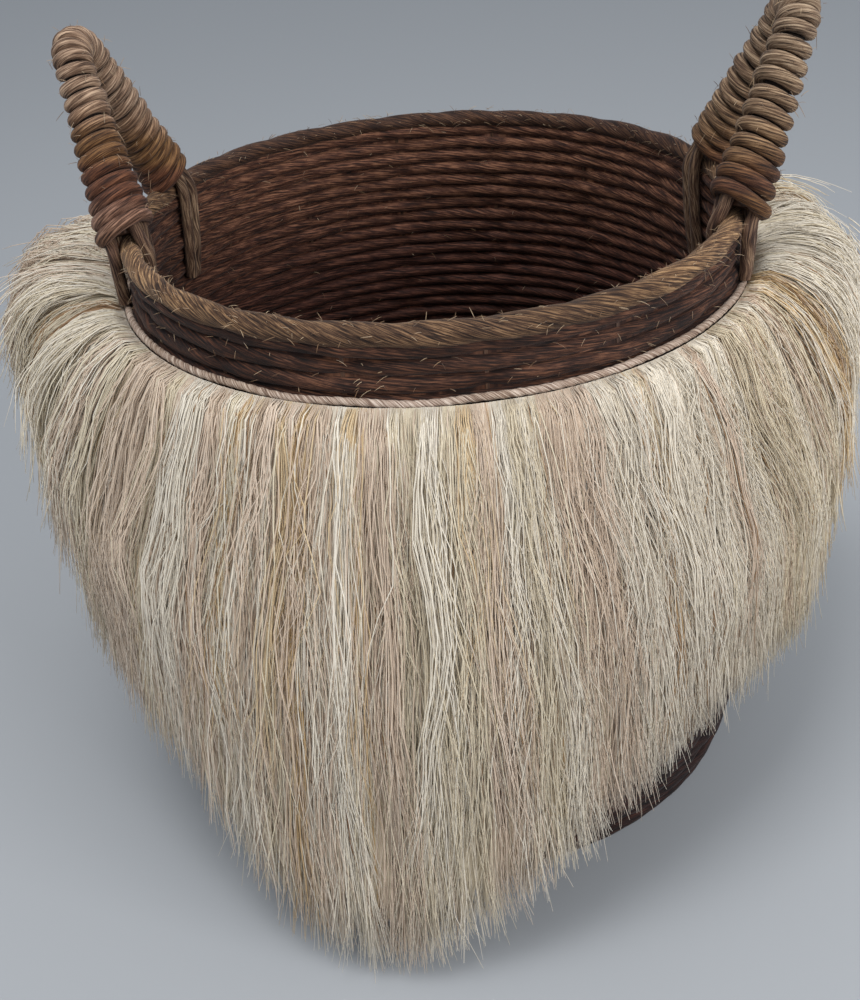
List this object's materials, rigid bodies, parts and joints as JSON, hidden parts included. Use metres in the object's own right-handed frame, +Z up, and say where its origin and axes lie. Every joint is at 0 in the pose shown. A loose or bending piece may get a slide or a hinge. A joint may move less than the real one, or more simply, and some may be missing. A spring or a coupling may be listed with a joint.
{
  "type": "abaca basket",
  "caption": "Round woven rope basket, open on top, with two upright wrapped arch handles and a thick hanging fibre fringe all round.",
  "frame": {"origin": "middle of the flat bottom of the base, on the surface that the basket stands on", "axes": "X runs left to right through both handles, Y from the front (-Y) to the back, Z up"},
  "size_m": [0.5421, 0.5524, 0.4839],
  "materials": {
    "wall_rope": "dark brown twisted plant-fibre rope, matt and hairy",
    "rim_rope": "light golden two-strand twisted rope, matt",
    "handle_rope": "tan to red-brown fibre rope, slightly silky along the strands",
    "header_cord": "thin pinkish tan cord, matt",
    "fringe_fibre": "raw cream plant fibre with golden streaks, dry and slightly silky",
    "stake_cane": "plain peeled cane, hidden inside"
  },
  "bodies": {
    "root": {"base_weave": "wall_rope", "wall_weave": "wall_rope", "rim_rope": "rim_rope", "fringe_header_cord": "header_cord", "left_handle_core": "stake_cane", "right_handle_core": "stake_cane", "left_handle_wrap": "handle_rope", "right_handle_wrap": "handle_rope", "left_front_outer_tie": "handle_rope", "left_front_inner_tie": "handle_rope", "left_back_outer_tie": "handle_rope", "left_back_inner_tie": "handle_rope", "right_front_outer_tie": "handle_rope", "right_front_inner_tie": "handle_rope", "right_back_outer_tie": "handle_rope", "right_back_inner_tie": "handle_rope", "wall_stake_01": "stake_cane", "wall_stake_02": "stake_cane", "wall_stake_03": "stake_cane", "wall_stake_04": "stake_cane", "wall_stake_05": "stake_cane", "wall_stake_06": "stake_cane", "wall_stake_07": "stake_cane", "wall_stake_08": "stake_cane", "wall_stake_09": "stake_cane", "wall_stake_10": "stake_cane", "wall_stake_11": "stake_cane", "wall_stake_12": "stake_cane", "wall_stake_13": "stake_cane", "wall_stake_14": "stake_cane", "wall_stake_15": "stake_cane", "wall_stake_16": "stake_cane", "fringe_bundle_01": "fringe_fibre", "fringe_bundle_02": "fringe_fibre", "fringe_bundle_03": "fringe_fibre", "fringe_bundle_04": "fringe_fibre", "fringe_bundle_05": "fringe_fibre", "fringe_bundle_06": "fringe_fibre", "fringe_bundle_07": "fringe_fibre", "fringe_bundle_08": "fringe_fibre", "fringe_bundle_09": "fringe_fibre", "fringe_bundle_10": "fringe_fibre", "fringe_bundle_11": "fringe_fibre", "fringe_bundle_12": "fringe_fibre", "fringe_bundle_13": "fringe_fibre", "fringe_bundle_14": "fringe_fibre", "fringe_bundle_15": "fringe_fibre", "fringe_bundle_16": "fringe_fibre", "fringe_bundle_17": "fringe_fibre", "fringe_bundle_18": "fringe_fibre", "fringe_bundle_19": "fringe_fibre", "fringe_bundle_20": "fringe_fibre", "fringe_bundle_21": "fringe_fibre", "fringe_bundle_22": "fringe_fibre", "fringe_bundle_23": "fringe_fibre", "fringe_bundle_24": "fringe_fibre"}
  },
  "joints": []
}
